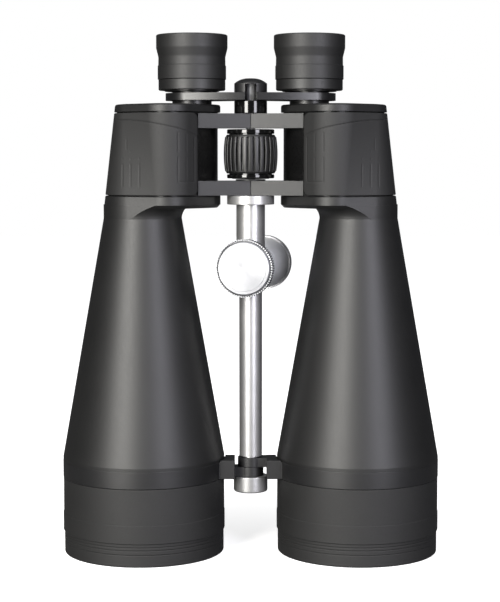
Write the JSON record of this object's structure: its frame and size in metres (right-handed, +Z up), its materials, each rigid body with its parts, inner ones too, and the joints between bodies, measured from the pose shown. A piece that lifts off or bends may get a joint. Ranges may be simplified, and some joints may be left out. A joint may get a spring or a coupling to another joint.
{
  "type": "giant Porro-prism binoculars",
  "caption": "Large tripod binoculars with tapered barrels, hinged prism housings, folding halves, focus wheel, rubber eyecups and a tripod adapter that slides on a bright centre rod.",
  "frame": {"origin": "midway between the two objective hoods, on the surface that they stand on", "axes": "+Z up along the barrels to the eyecups, +X to the right barrel, -Y towards the side with the focus wheel and the lock knob"},
  "size_m": [0.2304, 0.0992, 0.315],
  "materials": {
    "hood_rubber": "matt black coating on turned aluminium",
    "black_aluminium": "black anodised",
    "lens_glass": "coated",
    "satin_black_barrel": "satin black paint",
    "armour_rubber": "moulded matt rubber",
    "black_steel": "blackened",
    "prism_glass": "ground and polished",
    "spring_steel": "plain",
    "satin_black_metal": "satin black paint",
    "gloss_black_metal": "gloss black paint",
    "bright_aluminium": "turned and polished",
    "nylon": "plain",
    "grip_rubber": "moulded, ribbed",
    "polished_steel": "ground",
    "eyepiece_shell": "matt black paint",
    "eyecup_rubber": "matt",
    "brass": "turned"
  },
  "bodies": {
    "centre": {"rod_socket": "bright_aluminium", "centre_rod": "bright_aluminium", "rod_end_cap": "bright_aluminium", "hinge_washer": "nylon"},
    "left_half": {"left_objective_hood": "hood_rubber", "left_objective_cell": "black_aluminium", "left_objective_lens": "lens_glass", "left_lens_retainer": "black_aluminium", "left_barrel": "satin_black_barrel", "left_barrel_flange": "satin_black_barrel", "left_prism_housing": "black_aluminium", "left_housing_armour": "armour_rubber", "left_cover_plate": "satin_black_barrel", "left_cover_screws": "black_steel", "left_prism_shelf": "black_aluminium", "left_upper_prism": "prism_glass", "left_lower_prism": "prism_glass", "left_prism_clips": "spring_steel", "left_front_arm": "satin_black_metal", "left_upper_hinge_arm": "satin_black_metal", "left_lower_hinge_arm": "satin_black_metal", "hinge_tube": "gloss_black_metal"},
    "right_half": {"right_objective_hood": "hood_rubber", "right_objective_cell": "black_aluminium", "right_objective_lens": "lens_glass", "right_lens_retainer": "black_aluminium", "right_barrel": "satin_black_barrel", "right_barrel_flange": "satin_black_barrel", "right_prism_housing": "black_aluminium", "right_housing_armour": "armour_rubber", "right_cover_plate": "satin_black_barrel", "right_cover_screws": "black_steel", "right_prism_shelf": "black_aluminium", "right_upper_prism": "prism_glass", "right_lower_prism": "prism_glass", "right_prism_clips": "spring_steel", "right_front_arm": "satin_black_metal", "right_upper_hinge_arm": "satin_black_metal", "right_lower_hinge_arm": "satin_black_metal"},
    "focus_drive": {"focus_wheel": "gloss_black_metal", "focus_wheel_grip": "grip_rubber"},
    "bridge": {"focus_screw": "polished_steel", "bridge_cap": "satin_black_metal"},
    "left_carriage": {"left_yoke_arm": "satin_black_metal", "left_ocular_tube": "gloss_black_metal", "left_field_lens": "lens_glass", "left_eye_lens": "lens_glass", "left_eyepiece_skirt": "eyepiece_shell", "left_eyecup": "eyecup_rubber"},
    "right_carriage": {"right_yoke_arm": "satin_black_metal"},
    "right_lens_cell": {"right_ocular_tube": "gloss_black_metal", "right_field_lens": "lens_glass", "right_eye_lens": "lens_glass"},
    "diopter": {"right_diopter_ring": "eyepiece_shell", "right_eyecup": "eyecup_rubber"},
    "slider": {"slider_bush": "nylon"},
    "adapter": {"tripod_post": "bright_aluminium"},
    "pad": {"clamp_pad": "brass"},
    "knob": {"lock_knob": "bright_aluminium"}
  },
  "joints": [
    {"name": "left_fold", "type": "hinge", "parent": "centre", "child": "left_half", "pos_m": [0, -0.002, 0], "axis": [0, 0, -1], "range_deg": [0, 29]},
    {"name": "right_fold", "type": "hinge", "parent": "centre", "child": "right_half", "pos_m": [0, -0.002, 0], "axis": [0, 0, 1], "range_deg": [0, 29]},
    {"name": "focus_turn", "type": "hinge", "parent": "centre", "child": "focus_drive", "pos_m": [0, -0.002, 0.243], "axis": [0, 0, 1], "range_deg": [0, 540]},
    {"name": "bridge_lift", "type": "slide", "parent": "centre", "child": "bridge", "axis": [0, 0, 1], "range_m": [0, 0.00901]},
    {"name": "left_focus", "type": "slide", "parent": "left_half", "child": "left_carriage", "axis": [0, 0, 1], "range_m": [0, 0.00901]},
    {"name": "right_focus", "type": "slide", "parent": "right_half", "child": "right_carriage", "axis": [0, 0, 1], "range_m": [0, 0.00901]},
    {"name": "diopter_lift", "type": "slide", "parent": "right_carriage", "child": "right_lens_cell", "axis": [0, 0, 1], "range_m": [-0.00076, 0.00076]},
    {"name": "diopter_turn", "type": "hinge", "parent": "right_lens_cell", "child": "diopter", "pos_m": [0.0356, 0.004, 0.285], "axis": [0, 0, 1], "range_deg": [-60, 60]},
    {"name": "slider_travel", "type": "slide", "parent": "centre", "child": "slider", "axis": [0, 0, 1], "range_m": [-0.08, 0]},
    {"name": "post_turn", "type": "hinge", "parent": "slider", "child": "adapter", "pos_m": [0, -0.002, 0.1751], "axis": [0, 0, 1], "range_deg": [-8, 24]},
    {"name": "pad_travel", "type": "slide", "parent": "adapter", "child": "pad", "axis": [-0.2079, -0.9781, 0], "range_m": [0, 0.00151]},
    {"name": "knob_turn", "type": "hinge", "parent": "pad", "child": "knob", "pos_m": [-3.32659, -15.65237, 0.1751], "axis": [-0.2079, -0.9781, 0], "range_deg": [0, 540]}
  ],
  "couplings": [
    {"joint": "bridge_lift", "follows": "focus_turn", "m_per_rad": 0.00095493},
    {"joint": "left_focus", "follows": "focus_turn", "m_per_rad": 0.00095493},
    {"joint": "right_focus", "follows": "focus_turn", "m_per_rad": 0.00095493},
    {"joint": "diopter_lift", "follows": "diopter_turn", "m_per_rad": 0.0007162},
    {"joint": "pad_travel", "follows": "knob_turn", "m_per_rad": 0.00015915}
  ]
}
